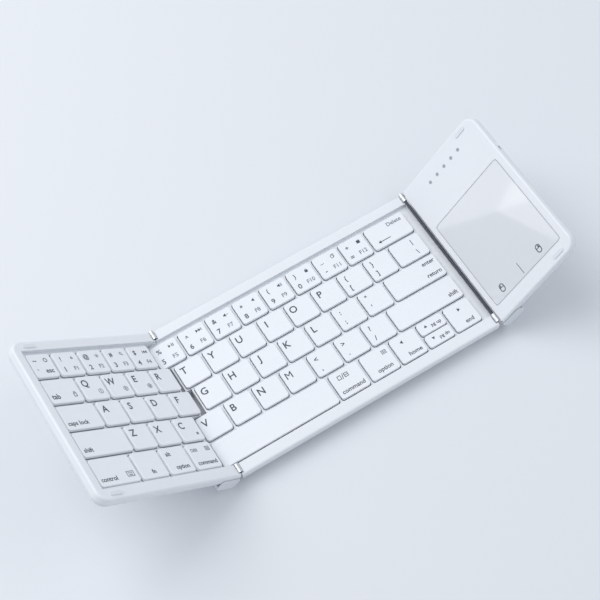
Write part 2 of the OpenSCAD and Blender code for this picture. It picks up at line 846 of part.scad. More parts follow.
// Rounded rib on which the touchpad's board rocks
module pivot_rib() {
    x0 = pad_x + rib_inset;
    x1 = pad_x + pad_w - rib_inset;
    top = pad_board_z - 0.02;
    block(x0, x1, pivot_y - pivot_r, pivot_y + pivot_r, floor_t - over, top - pivot_r);
    translate([x0, pivot_y, top - pivot_r]) rotate([0, 90, 0]) cylinder(r = pivot_r, h = x1 - x0);
}

module right_top_cover() {
    color("white") difference() {
        right_form();
        block(0, right_wing_w + 1, -half_depth - 1, half_depth + 1, -1, split_z);
        right_cavity(split_z - 1, panel_h - cover_t);
        translate([0, 0, split_z]) linear_extrude(panel_h)
            rounded_rect(pad_x - pad_gap, pad_front - pad_gap, pad_w + 2 * pad_gap, pad_d + 2 * pad_gap, pad_r);
        knuckle_room();
        leaf_room(wing_knuckles_y);
        usb_window();
        switch_window();
        screw_holes(right_screw_x);
        magnet_pockets([right_magnet_x]);
        at_guides() cylinder(r = guide_r + slip, h = panel_h + 1);
    }
}

module at_guides() {
    for (i = [0:guide_count - 1]) translate([guide_x + i * guide_pitch, guide_y, 0]) children();
}

module touchpad_plate() {
    color("white") translate([0, 0, pad_z]) linear_extrude(pad_t)
        rounded_rect(pad_x, pad_front, pad_w, pad_d, pad_r);
}

module touchpad_board() {
    color("darkgreen") block(pad_x + pad_board_inset, pad_x + pad_w - pad_board_inset,
        pad_front + pad_board_inset, pad_back - pad_board_inset, pad_board_z, pad_z);
}

module main_board() {
    board_back = cavity_back - 0.3;
    shield_x = board_x + shield_inset;
    chip_x = board_x + board_w - chip_inset;
    color("darkgreen") {
        block(board_x, board_x + board_w, board_front, board_back, board_z, board_top);
        block(board_x + board_w - 1, right_wing_w - end_wall - tongue_clear,
            switch_y - tongue_w / 2, switch_y + tongue_w / 2, board_z, board_top);
        block(shield_x, shield_x + shield_w, board_front + shield_inset, board_front + shield_inset + shield_d,
            board_top, board_top + shield_h);
        block(chip_x, chip_x + chip_w, board_front + shield_inset, board_front + shield_inset + chip_w,
            board_top, board_top + chip_h);
    }
}

module battery() {
    depth = pivot_y - pivot_r - pad_front - 2 * battery_gap;
    color("slategray") translate([battery_x, pad_front + battery_gap, floor_t]) linear_extrude(battery_h)
        rounded_rect(0, 0, battery_w, depth, 1);
}

module usb_c_socket() {
    r = usb_h / 2;
    wall = 0.3;
    z = board_top + r;
    y1 = half_depth - 0.4;
    y0 = y1 - usb_l;
    x0 = usb_x - usb_w / 2 + r;
    x1 = usb_x + usb_w / 2 - r;
    color("silver") {
        difference() {
            union() {
                rod_y(x0, z, r, y0, y1);
                rod_y(x1, z, r, y0, y1);
                block(x0, x1, y0, y1, z - r, z + r);
            }
            rod_y(x0, z, r - wall, y0 + 1, y1 + 1);
            rod_y(x1, z, r - wall, y0 + 1, y1 + 1);
            block(x0, x1, y0 + 1, y1 + 1, z - r + wall, z + r - wall);
        }
        block(x0 - 0.5, x1 + 0.5, y0 + 0.9, y1 - 0.8, z - 0.35, z + 0.35);
    }
}

module power_switch_body() {
    face = right_wing_w - end_wall - 0.1;
    color("dimgray") block(face - 4, face, switch_y - switch_slot / 2 - 0.8, switch_y + switch_slot / 2 + 0.8,
        board_top, board_top + switch_h + 1);
}

module power_switch_slider() {
    z = board_top + 0.6;
    y1 = switch_y + switch_slot / 2 - 0.2;
    color("white") block(right_wing_w - end_wall - 0.05, right_wing_w + nub_out, y1 - switch_nub, y1,
        z, z + switch_h);
}

module indicator_light_guides() {
    color("lightblue") at_guides() translate([0, 0, board_top]) cylinder(r = guide_r, h = panel_h - board_top);
}

centre_bottom_case();
centre_top_cover();
centre_support_plate();
centre_membrane();
centre_rubber_domes();
centre_scissor_links();
centre_magnets();
centre_screws();
centre_feet();
centre_knuckles();
left_hinge_pins();
right_hinge_rod();
key_caps(number_keys);  // number_row_keys
key_caps(delete_keys);  // delete_key
key_caps(upper_keys);  // upper_row_keys
key_caps(home_keys);  // home_row_keys
key_caps(enter_keys);  // enter_key
key_caps(lower_keys);  // lower_row_keys
key_caps(right_shift_keys);  // right_shift_key
key_caps(space_keys);  // space_bar
key_caps(side_keys);
key_caps(up_keys);  // arrow_up_key
key_caps(down_keys);  // arrow_down_key
on_left_wing() left_bottom_case();
on_left_wing() left_top_cover();
on_left_wing() left_support_plate();
on_left_wing() left_membrane();
on_left_wing() color("ghostwhite") domes(left_keys);  // left_rubber_domes
on_left_wing() color("gainsboro") scissor_links(left_keys);  // left_scissor_links
on_left_wing() magnets([left_magnet_x]);  // left_magnets
on_left_wing() screws(left_screw_x);  // left_screws
on_left_wing() feet(left_screw_x);  // left_feet
on_left_wing() bumpers(left_magnet_x);  // left_bumpers
on_left_wing() hinge_housing();  // left_hinge_housing
on_left_wing() color("silver") knuckles(wing_knuckles_y);  // left_knuckles
on_left_wing() key_caps(left_number_row);  // left_number_keys
on_left_wing() key_caps(left_upper_row);  // left_upper_keys
on_left_wing() key_caps(tab_keys);  // tab_key
on_left_wing() key_caps(left_home_row);  // left_home_keys
on_left_wing() key_caps(caps_keys);  // caps_lock_key
on_left_wing() key_caps(left_lower_row);  // left_lower_keys
on_left_wing() key_caps(left_shift_keys);  // left_shift_key
on_left_wing() key_caps(left_front_row);  // left_front_keys
on_left_wing() key_caps(control_keys);  // control_key
on_right_wing() right_bottom_case();
on_right_wing() right_top_cover();
on_right_wing() touchpad_plate();
on_right_wing() touchpad_board();
on_right_wing() main_board();
on_right_wing() battery();
on_right_wing() usb_c_socket();
on_right_wing() power_switch_body();
on_right_wing() power_switch_slider();
on_right_wing() indicator_light_guides();
on_right_wing() magnets([right_magnet_x]);  // right_magnets
on_right_wing() screws(right_screw_x);  // right_screws
on_right_wing() feet(right_screw_x);  // right_feet
on_right_wing() bumpers(right_magnet_x);  // right_bumpers
on_right_wing() hinge_housing();  // right_hinge_housing
on_right_wing() color("silver") knuckles(wing_knuckles_y);  // right_knuckles
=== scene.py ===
import json
import math
import bmesh
import bpy
from mathutils import Matrix, Vector

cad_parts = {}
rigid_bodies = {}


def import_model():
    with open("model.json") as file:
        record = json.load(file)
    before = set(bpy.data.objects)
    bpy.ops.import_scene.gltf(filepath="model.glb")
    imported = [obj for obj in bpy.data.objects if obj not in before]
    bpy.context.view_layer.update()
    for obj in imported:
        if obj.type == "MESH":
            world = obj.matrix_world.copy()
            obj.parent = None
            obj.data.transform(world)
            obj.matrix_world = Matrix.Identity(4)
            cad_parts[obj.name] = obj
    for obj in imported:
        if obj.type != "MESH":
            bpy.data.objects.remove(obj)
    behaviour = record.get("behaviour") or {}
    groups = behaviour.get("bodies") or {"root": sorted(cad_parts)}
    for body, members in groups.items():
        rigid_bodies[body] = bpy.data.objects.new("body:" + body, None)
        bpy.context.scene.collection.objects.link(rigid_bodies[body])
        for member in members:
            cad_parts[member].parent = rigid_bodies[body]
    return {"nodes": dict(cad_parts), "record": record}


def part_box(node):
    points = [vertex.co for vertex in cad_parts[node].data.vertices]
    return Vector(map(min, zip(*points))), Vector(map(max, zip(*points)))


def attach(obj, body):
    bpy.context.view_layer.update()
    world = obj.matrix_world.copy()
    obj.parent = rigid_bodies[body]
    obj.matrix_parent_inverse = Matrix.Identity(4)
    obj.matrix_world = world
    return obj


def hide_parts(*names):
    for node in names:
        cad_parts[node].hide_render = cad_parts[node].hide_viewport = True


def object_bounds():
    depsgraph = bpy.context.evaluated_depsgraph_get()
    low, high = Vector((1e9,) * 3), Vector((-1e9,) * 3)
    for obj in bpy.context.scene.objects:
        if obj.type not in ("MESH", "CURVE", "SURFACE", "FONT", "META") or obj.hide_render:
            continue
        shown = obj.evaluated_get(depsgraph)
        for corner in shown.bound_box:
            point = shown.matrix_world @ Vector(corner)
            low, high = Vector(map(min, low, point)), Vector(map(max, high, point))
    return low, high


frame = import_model()
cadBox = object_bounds()
nodes = frame["nodes"]
joints = {joint["name"]: joint for joint in frame["record"]["behaviour"]["joints"]}
mm = 0.001
print("frame loaded:", len(nodes), "nodes")


# Camera first, at the angle of the photograph

cameraValues = {
    "place": (-0.1879, -0.2878, 0.7024),  # metres
    "target": (-0.0024, 0.0224, 0.00655),
    "lens": 84.96,  # mm on a 36 mm sensor
    "roll": -1.254,  # degrees
}


def makeCamera():
    values = cameraValues
    data = bpy.data.cameras.new("photoCamera")
    data.lens = values["lens"]
    data.sensor_width = 36
    data.clip_start = 0.01
    camera = bpy.data.objects.new("photoCamera", data)
    bpy.context.collection.objects.link(camera)
    place = Vector(values["place"])
    aim = (Vector(values["target"]) - place).to_track_quat("-Z", "Y").to_matrix().to_4x4()
    roll = Matrix.Rotation(math.radians(values["roll"]), 4, "Z")
    camera.matrix_world = Matrix.Translation(place) @ aim @ roll
    bpy.context.scene.camera = camera


makeCamera()
print("camera placed")


# The flat frame: each wing is laid out flat, as the open keyboard lies, and then turned up about its hinge

def wingTurn(jointName):
    joint = joints[jointName]
    pivot = Matrix.Translation(Vector(joint["pos_m"]))
    raised = math.radians(-joint["range_deg"][0])
    return pivot @ Matrix.Rotation(raised, 4, Vector(joint["axis"])) @ pivot.inverted()


flatToRest = {
    "base": Matrix.Identity(4),
    "left_wing": wingTurn("left_wing_fold"),
    "right_wing": wingTurn("right_wing_fold"),
}


def meshFromData(name, vertices, faces, material=None):
    mesh = bpy.data.meshes.new(name)
    mesh.from_pydata(vertices, [], faces)
    mesh.update()
    piece = bpy.data.objects.new(name, mesh)
    bpy.context.collection.objects.link(piece)
    if material:
        mesh.materials.append(material)
    return piece


def smooth(piece, angle=40):
    piece.data.shade_smooth()
    piece.data.set_sharp_from_angle(angle=math.radians(angle))


def plainMesh(piece):
    # Turns a piece with modifiers into a plain mesh at the origin
    depsgraph = bpy.context.evaluated_depsgraph_get()
    mesh = bpy.data.meshes.new_from_object(piece.evaluated_get(depsgraph))
    piece.modifiers.clear()
    old = piece.data
    piece.data = mesh
    if old.users == 0:
        bpy.data.meshes.remove(old)
    return piece


# Materials: each starts from the real stuff, and grain sizes are in real millimetres

def linearColour(hexText):
    channels = [int(hexText[i:i + 2], 16) / 255 for i in (1, 3, 5)]
    return [c / 12.92 if c <= 0.04045 else ((c + 0.055) / 1.055) ** 2.4 for c in channels] + [1]


def addNode(tree, kind, inputs=None, **settings):
    node = tree.nodes.new(kind)
    for name, value in settings.items():
        setattr(node, name, value)
    for name, value in (inputs or {}).items():
        socket = node.inputs[name]
        if isinstance(value, bpy.types.NodeSocket):
            tree.links.new(value, socket)
        else:
            socket.default_value = value
    return node


def newMaterial(name, hexText, roughness, metallic=0.0, ior=1.46, coat=0.0, coatRoughness=0.1):
    material = bpy.data.materials.new(name)
    material.use_nodes = True
    material.diffuse_color = linearColour(hexText)
    shader = material.node_tree.nodes["Principled BSDF"]
    shader.inputs["Base Color"].default_value = linearColour(hexText)
    shader.inputs["Roughness"].default_value = roughness
    shader.inputs["Metallic"].default_value = metallic
    shader.inputs["IOR"].default_value = ior
    shader.inputs["Coat Weight"].default_value = coat
    shader.inputs["Coat Roughness"].default_value = coatRoughness
    return material, material.node_tree, shader


def addGrain(tree, shader, grainMm, depthMm, hexText, variation=0.03, patchMm=30):
    # Fine surface texture as bump, and a broad faint drift of the colour
    place = addNode(tree, "ShaderNodeTexCoord").outputs["Object"]
    fine = addNode(tree, "ShaderNodeTexNoise", {"Vector": place, "Scale": 1 / (grainMm * mm), "Detail": 3.0})
    bump = addNode(tree, "ShaderNodeBump", {
        "Height": fine.outputs["Fac"], "Distance": depthMm * mm, "Strength": 1.0})
    tree.links.new(bump.outputs["Normal"], shader.inputs["Normal"])
    broad = addNode(tree, "ShaderNodeTexNoise", {"Vector": place, "Scale": 1 / (patchMm * mm), "Detail": 1.0})
    colour = linearColour(hexText)
    darker = [c * (1 - variation) for c in colour[:3]] + [1]
    mix = addNode(tree, "ShaderNodeMix", {"Factor": broad.outputs["Fac"]}, data_type="RGBA")
    mix.inputs["A"].default_value = darker
    mix.inputs["B"].default_value = colour
    tree.links.new(mix.outputs["Result"], shader.inputs["Base Color"])


def addRoughnessDrift(tree, shader, low, high, patchMm):
    place = addNode(tree, "ShaderNodeTexCoord").outputs["Object"]
    noise = addNode(tree, "ShaderNodeTexNoise", {"Vector": place, "Scale": 1 / (patchMm * mm), "Detail": 4.0})
    spread = addNode(tree, "ShaderNodeMapRange", {
        "Value": noise.outputs["Fac"], "To Min": low, "To Max": high})
    tree.links.new(spread.outputs["Result"], shader.inputs["Roughness"])


def upperAbs():
    # Moulded ABS from a lightly spark-eroded tool: white with a soft, broad sheen
    material, tree, shader = newMaterial("upperShellAbs", "#eceff3", 0.36)
    addGrain(tree, shader, 0.35, 0.006, "#eceff3")
    addRoughnessDrift(tree, shader, 0.32, 0.42, 12)
    return material


def lowerAbs():
    # The same ABS from a coarser tool, a touch duller under the hand
    material, tree, shader = newMaterial("lowerShellAbs", "#e4e8ed", 0.45)
    addGrain(tree, shader, 0.5, 0.012, "#e4e8ed")
    addRoughnessDrift(tree, shader, 0.42, 0.52, 10)
    return material


def capAbs():
    # Moulded ABS caps under a clear matt lacquer, smoother than the deck
    material, tree, shader = newMaterial("keyCapAbs", "#f0f3f7", 0.38)
    addGrain(tree, shader, 0.25, 0.004, "#f0f3f7", variation=0.02)
    addRoughnessDrift(tree, shader, 0.34, 0.42, 8)
    return material


def legendInk(name, hexText):
    # Pad-printed ink, matt and slightly uneven in density
    material, tree, shader = newMaterial(name, hexText, 0.6)
    addGrain(tree, shader, 0.2, 0.002, hexText, variation=0.12, patchMm=1.5)
    return material


def touchFilm():
    # Hard-coated polycarbonate over white print: clear gloss that carries reflections
    material, tree, shader = newMaterial(
        "touchpadFilm", "#dfe2e6", 0.05, ior=1.58, coat=0.6, coatRoughness=0.02)
    addGrain(tree, shader, 1.2, 0.0002, "#dfe2e6", variation=0.015, patchMm=40)
    return material


def satinNickel():
    # Rolled steel barrels under satin nickel plate: a broad metallic sheen that darkens where it turns away
    material, tree, shader = newMaterial("satinNickelSteel", "#e4e6ea", 0.4, metallic=0.85, ior=1.5)
    addGrain(tree, shader, 0.3, 0.004, "#e4e6ea", variation=0.06, patchMm=2.0)
    return material


def blackenedSteel():
    # Black-oxide hinge rod, oily dark grey with a dull gleam
    material, tree, shader = newMaterial("blackOxideSteel", "#4a4f58", 0.42, metallic=0.6, ior=1.5)
    addGrain(tree, shader, 0.3, 0.004, "#4a4f58", variation=0.25, patchMm=2.5)
    return material


def softRubber(name, hexText):
    # Moulded silicone rubber: matt, with a velvety bloom
    material, tree, shader = newMaterial(name, hexText, 0.7)
    shader.inputs["Sheen Weight"].default_value = 0.15
    addGrain(tree, shader, 0.3, 0.01, hexText, variation=0.06, patchMm=4)
    return material


def platedSteel(name, hexText):
    material, tree, shader = newMaterial(name, hexText, 0.3, metallic=1.0, ior=1.5)
    addGrain(tree, shader, 0.15, 0.002, hexText, variation=0.08, patchMm=1.5)
    return material


def plainPlastic(name, hexText, roughness):
    # Small moulded parts that sit inside the case
    material, tree, shader = newMaterial(name, hexText, roughness)
    addGrain(tree, shader, 0.3, 0.005, hexText, variation=0.05, patchMm=3)
    return material


finishes = {
    "upper": upperAbs(),
    "lower": lowerAbs(),
    "cap": capAbs(),
    "ink": legendInk("legendInk", "#4d535d"),
    "paleInk": legendInk("paleLegendInk", "#868c95"),
    "borderInk": legendInk("borderInk", "#b4b9c0"),
    "film": touchFilm(),
    "steel": satinNickel(),
    "blackSteel": blackenedSteel(),
    "foot": softRubber("footRubber", "#c9cdd2"),
    "bumper": softRubber("bumperSilicone", "#e4e8ed"),
    "dome": softRubber("domeSilicone", "#e6e6e4"),
    "plate": platedSteel("plateAluminium", "#c4c7cb"),
    "screw": platedSteel("screwSteel", "#8e9196"),
    "magnet": platedSteel("magnetNickel", "#a7a9ad"),
    "socket": platedSteel("socketSteel", "#b9bcc0"),
    "sheet": plainPlastic("membraneFilm", "#d8dbdf", 0.3),
    "link": plainPlastic("linkAcetal", "#e6e7e8", 0.4),
    "board": plainPlastic("boardMask", "#1f5a3a", 0.35),
    "cell": plainPlastic("pouchFoil", "#9ea3aa", 0.3),
    "switch": plainPlastic("switchNylon", "#2c2d30", 0.5),
    "lightGuide": plainPlastic("lightGuideAcrylic", "#9aa3b0", 0.2),
}

finishOfNode = {  # by the end of a node's name; a later entry wins over an earlier one
    "top_cover": "upper", "bottom_case": "lower", "housing": "lower", "plate": "plate",
    "membrane": "sheet", "domes": "dome", "links": "link", "magnets": "magnet",
    "screws": "screw", "feet": "foot", "bumpers": "bumper", "knuckles": "steel",
    "pins": "blackSteel", "rod": "blackSteel", "touchpad_plate": "film", "board": "board",
    "battery": "cell", "socket": "socket", "switch_body": "switch", "slider": "cap",
    "guides": "lightGuide",
}


def dressNodes():
    for name, piece in nodes.items():
        finish = "cap"
        for ending, choice in finishOfNode.items():
            if name.endswith(ending):
                finish = choice
        piece.data.materials.clear()
        piece.data.materials.append(finishes[finish])


dressNodes()
print("materials set")


# Key caps: one cap drawn once and stretched between its corners to each key's size, by Geometry Nodes

capValues = {
    "templateSide": 9.0,  # mm, width and depth of the cap that is stretched
    "corner": 1.5,
    "cornerSteps": 6,
    "shoulder": 0.32,  # mm, rounding round the top
    "shoulderSteps": 4,
    "footRounding": 0.08,  # mm, rounding of the cap's lower edge
    "dish": 0.07,  # mm, depth of the hollow in the top
    "dishSteps": ((0.5, 0.2), (1.3, 0.6), (2.3, 0.9), (3.2, 1.0)),  # mm past the shoulder, share of dish
    "leastCorner": 0.15,  # mm
    "wall": 0.9,
}


def keyIslands(nodeName, turn):
    # The caps of a node as (x, y, width, depth, low, high) in the flat frame, in metres
    work = bmesh.new()
    work.from_mesh(nodes[nodeName].data)
    work.transform(turn.inverted())
    bmesh.ops.remove_doubles(work, verts=work.verts, dist=0.001 * mm)
    left = set(work.verts)
    found = []
    while left:
        stack = [left.pop()]
        island = []
        while stack:
            vertex = stack.pop()
            island.append(vertex.co.copy())
            for edge in vertex.link_edges:
                other = edge.other_vert(vertex)
                if other in left:
                    left.remove(other)
                    stack.append(other)
        low = [min(p[i] for p in island) for i in range(3)]
        high = [max(p[i] for p in island) for i in range(3)]
        found.append((low[0], low[1], high[0] - low[0], high[1] - low[1], low[2], high[2]))
    work.free()
    return sorted(found)


def roundedRing(side, inset, corner, steps, height):
    half = side / 2 - inset
    radius = max(corner - inset, capValues["leastCorner"] * mm)
    ring = []
    for quarter in range(4):
        sx = (1, -1, -1, 1)[quarter]
        sy = (1, 1, -1, -1)[quarter]
        for step in range(steps + 1):
            angle = math.pi / 2 * (quarter + step / steps)
            ring.append((sx * (half - radius) + radius * math.cos(angle),
                         sy * (half - radius) + radius * math.sin(angle), height))
    return ring


def capTemplate(height):
    values = capValues
    side = values["templateSide"] * mm
    corner = values["corner"] * mm
    shoulder = values["shoulder"] * mm
    steps = values["cornerSteps"]
    wall = values["wall"] * mm
    dish = values["dish"] * mm
    foot = values["footRounding"] * mm
    profile = [(wall, height - wall), (wall, 0), (foot, 0), (0, foot), (0, height - shoulder)]
    for step in range(1, values["shoulderSteps"] + 1):
        angle = math.pi / 2 * step / values["shoulderSteps"]
        profile.append((shoulder * (1 - math.cos(angle)), height - shoulder * (1 - math.sin(angle))))
    profile += [(shoulder + inwards * mm, height - share * dish) for inwards, share in values["dishSteps"]]
    count = 4 * (steps + 1)
    vertices = []
    for inset, level in profile:
        vertices += roundedRing(side, inset, corner, steps, level)
    faces = [tuple(reversed(range(count)))]
    for row in range(len(profile) - 1):
        for i in range(count):
            j = (i + 1) % count
            faces.append((row * count + i, row * count + j, (row + 1) * count + j, (row + 1) * count + i))
    last = (len(profile) - 1) * count
    faces.append(tuple(last + i for i in range(count)))
    template = meshFromData("capTemplate", vertices, faces, finishes["cap"])
    place = template.data.attributes.new("capPlace", "FLOAT_VECTOR", "POINT")
    for i, vertex in enumerate(template.data.vertices):
        place.data[i].vector = vertex.co
    return template


def capTree():
    tree = bpy.data.node_groups.new("stretchedCaps", "GeometryNodeTree")
    tree.interface.new_socket("Geometry", in_out="INPUT", socket_type="NodeSocketGeometry")
    tree.interface.new_socket("Cap", in_out="INPUT", socket_type="NodeSocketObject")
    tree.interface.new_socket("Cap side", in_out="INPUT", socket_type="NodeSocketFloat")
    tree.interface.new_socket("Finish", in_out="INPUT", socket_type="NodeSocketMaterial")
    tree.interface.new_socket("Geometry", in_out="OUTPUT", socket_type="NodeSocketGeometry")
    start = addNode(tree, "NodeGroupInput")
    cap = addNode(tree, "GeometryNodeObjectInfo", {"Object": start.outputs["Cap"]})
    placed = addNode(tree, "GeometryNodeInstanceOnPoints", {
        "Points": start.outputs["Geometry"], "Instance": cap.outputs["Geometry"]})
    real = addNode(tree, "GeometryNodeRealizeInstances", {"Geometry": placed.outputs["Instances"]})
    size = addNode(tree, "GeometryNodeInputNamedAttribute", {"Name": "capSize"}, data_type="FLOAT_VECTOR")
    own = addNode(tree, "GeometryNodeInputNamedAttribute", {"Name": "capPlace"}, data_type="FLOAT_VECTOR")
    side = addNode(tree, "ShaderNodeCombineXYZ", {
        "X": start.outputs["Cap side"], "Y": start.outputs["Cap side"]})
    extra = addNode(tree, "ShaderNodeVectorMath", {
        0: size.outputs["Attribute"], 1: side.outputs["Vector"]}, operation="SUBTRACT")
    half = addNode(tree, "ShaderNodeVectorMath", {
        0: extra.outputs["Vector"], "Scale": 0.5}, operation="SCALE")
    sign = addNode(tree, "ShaderNodeVectorMath", {0: own.outputs["Attribute"]}, operation="SIGN")
    shift = addNode(tree, "ShaderNodeVectorMath", {
        0: half.outputs["Vector"], 1: sign.outputs["Vector"]}, operation="MULTIPLY")
    stretched = addNode(tree, "GeometryNodeSetPosition", {
        "Geometry": real.outputs["Geometry"], "Offset": shift.outputs["Vector"]})
    finished = addNode(tree, "GeometryNodeSetMaterial", {
        "Geometry": stretched.outputs["Geometry"], "Material": start.outputs["Finish"]})
    addNode(tree, "NodeGroupOutput", {"Geometry": finished.outputs["Geometry"]})
    return tree


def setInput(modifier, tree, name, value):
    for item in tree.interface.items_tree:
        if item.item_type == "SOCKET" and item.in_out == "INPUT" and item.name == name:
            modifier[item.identifier] = value


def makeCaps(nodeName, wing, template, tree):
    keys = keyIslands(nodeName, flatToRest[wing])
    points = [(x + w / 2, y + d / 2, low) for x, y, w, d, low, high in keys]
    piece = meshFromData("caps_" + nodeName, points, [])
    size = piece.data.attributes.new("capSize", "FLOAT_VECTOR", "POINT")
    for i, key in enumerate(keys):
        size.data[i].vector = (key[2], key[3], 0)
    modifier = piece.modifiers.new("caps", "NODES")
    modifier.node_group = tree
    setInput(modifier, tree, "Cap", template)
    setInput(modifier, tree, "Cap side", capValues["templateSide"] * mm)
    setInput(modifier, tree, "Finish", finishes["cap"])
    plainMesh(piece)
    for name in ("capSize", "capPlace"):
        if name in piece.data.attributes:
            piece.data.attributes.remove(piece.data.attributes[name])
    piece.data.transform(flatToRest[wing])
    smooth(piece, 35)
    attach(piece, nodeName)
    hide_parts(nodeName)
    return keys


# Legends: a cap's printing as [text or icon, place across, place down, height in mm, ink, alignment]

def letter(text):
    return [(text, 0.24, 0.32, 4.2, "ink", "CENTER")]


def pair(upper, lower):
    return [(upper, 0.24, 0.3, 3.0, "ink", "CENTER"), (lower, 0.24, 0.74, 3.0, "ink", "CENTER")]


def numbered(upper, digit, icon, label):
    return [(upper, 0.25, 0.29, 2.8, "ink", "CENTER"), (digit, 0.23, 0.74, 3.1, "ink", "CENTER"),
            (icon, 0.74, 0.27, 2.4, "ink", "CENTER"), (label, 0.7, 0.74, 2.5, "paleInk", "CENTER")]


def word(text, across, down, align):
    return [(text, across, down, 2.6, "ink", align)]


keyLegends = {
    "number_row_keys": [
        numbered("%", "5", "icon:play", "F5"), numbered("^", "6", "icon:next", "F6"),
        numbered("&", "7", "icon:mute", "F7"), numbered("*", "8", "icon:quiet", "F8"),
        numbered("(", "9", "icon:loud", "F9"), numbered(")", "0", "icon:lock", "F10"),
        numbered("_", "-", "icon:copy", "F11"), numbered("+", "=", "icon:window", "F12")],
    "delete_key": [[("Delete", 0.72, 0.26, 2.5, "paleInk", "CENTER"),
        ("icon:longLeft", 0.3, 0.76, 2.3, "ink", "CENTER")]],
    "upper_row_keys": [letter(c) for c in "TYUIOP"] + [pair("{", "["), pair("}", "]"),
        [("|", 0.68, 0.3, 2.9, "ink", "CENTER"), ("\\", 0.68, 0.74, 2.9, "ink", "CENTER")]],
    "home_row_keys": [letter(c) for c in "GHJKL"] + [pair(":", ";"), pair('"', "'")],
    "enter_key": [word("enter", 0.95, 0.24, "RIGHT") + word("return", 0.95, 0.76, "RIGHT")],
    "lower_row_keys": [letter(c) for c in "VBNM"] + [pair("<", ","), pair(">", "."), pair("?", "/")],
    "right_shift_key": [word("shift", 0.96, 0.74, "RIGHT")],
    "space_bar": [[]],
    "side_keys": [
        word("command", 0.5, 0.8, "CENTER") + [("icon:screens", 0.4, 0.26, 3.2, "ink", "CENTER")],
        word("option", 0.56, 0.78, "CENTER") + [("icon:menu", 0.8, 0.24, 2.6, "ink", "CENTER")],
        word("home", 0.62, 0.8, "CENTER") + [("icon:left", 0.36, 0.27, 2.4, "ink", "CENTER")],
        word("end", 0.62, 0.8, "CENTER") + [("icon:right", 0.5, 0.27, 2.4, "ink", "CENTER")]],
    "arrow_up_key": [[("icon:up", 0.28, 0.42, 2.1, "ink", "CENTER"),
        ("pg up", 0.68, 0.58, 2.1, "ink", "CENTER")]],
    "arrow_down_key": [[("icon:down", 0.28, 0.42, 2.1, "ink", "CENTER"),
        ("pg dn", 0.68, 0.58, 2.1, "ink", "CENTER")]],
    "left_number_keys": [
        [("~", 0.25, 0.29, 3.0, "ink", "CENTER"), ("`", 0.2, 0.76, 3.0, "ink", "CENTER"),
         ("icon:circle", 0.72, 0.27, 2.8, "ink", "CENTER"), ("esc", 0.68, 0.74, 2.9, "ink", "CENTER")],
        numbered("!", "1", "icon:dim", "F1"), numbered("@", "2", "icon:bright", "F2"),
        numbered("#", "3", "icon:search", "F3"), numbered("$", "4", "icon:back", "F4")],
    "left_upper_keys": [
        letter("Q") + [("icon:box1", 0.74, 0.68, 3.0, "paleInk", "CENTER")],
        letter("W") + [("icon:box2", 0.74, 0.68, 3.0, "paleInk", "CENTER")],
        letter("E") + [("icon:box3", 0.74, 0.68, 3.0, "paleInk", "CENTER")], letter("R")],
    "tab_key": [[("tab", 0.07, 0.74, 3.1, "ink", "LEFT"), ("icon:plug", 0.8, 0.68, 3.2, "ink", "CENTER")]],
    "left_home_keys": [letter(c) for c in "ASDF"],
    "caps_lock_key": [word("caps lock", 0.07, 0.76, "LEFT")],
    "left_lower_keys": [letter("Z"), letter("X"),
        letter("C") + [("icon:window", 0.78, 0.72, 1.8, "paleInk", "CENTER")]],
    "left_shift_key": [word("shift", 0.05, 0.76, "LEFT")],
    "left_front_keys": [
        word("fn", 0.5, 0.78, "CENTER"),
        word("option", 0.56, 0.78, "CENTER") + word("alt", 0.26, 0.26, "CENTER"),
        word("command", 0.5, 0.78, "CENTER") + [("icon:screens", 0.24, 0.26, 2.2, "ink", "CENTER"),
            ("icon:menu", 0.8, 0.25, 2.8, "ink", "CENTER")]],
    "control_key": [word("control", 0.06, 0.78, "LEFT")
        + [("icon:keys", 0.82, 0.7, 4.0, "paleInk", "CENTER")]],
}


# Icons as lists of outlines in a box one unit high, centred on the origin; a ring is (outer, inner) radii

def box(x0, y0, x1, y1):
    return [(x0, y0), (x1, y0), (x1, y1), (x0, y1)]


def frameOf(x0, y0, x1, y1, t):
    return [box(x0, y0, x1, y0 + t), box(x0, y1 - t, x1, y1),
            box(x0, y0 + t, x0 + t, y1 - t), box(x1 - t, y0 + t, x1, y1 - t)]


def disc(x, y, r, steps=20):
    return [(x + r * math.cos(2 * math.pi * i / steps), y + r * math.sin(2 * math.pi * i / steps))
            for i in range(steps)]


def onCircle(x, y, r, angle):
    return (x + r * math.cos(angle), y + r * math.sin(angle))


def ringOf(x, y, r, t, first=0, last=360, steps=24):
    pieces = []
    for i in range(steps):
        a = math.radians(first + (last - first) * i / steps)
        b = math.radians(first + (last - first) * (i + 1) / steps)
        pieces.append([onCircle(x, y, r - t, a), onCircle(x, y, r, a),
                       onCircle(x, y, r, b), onCircle(x, y, r - t, b)])
    return pieces


def speaker(x):
    horn = [(x - 0.25, -0.18), (x + 0.1, -0.45), (x + 0.1, 0.45), (x - 0.25, 0.18)]
    return [box(x - 0.5, -0.18, x - 0.25, 0.18), horn]


def triangle(x, w, h):
    # Its tip is at x + w; the order of the corners keeps the face upwards for either sign of w
    low, tip, high = (x, -h / 2), (x + w, 0), (x, h / 2)
    return [low, tip, high] if w > 0 else [low, high, tip]


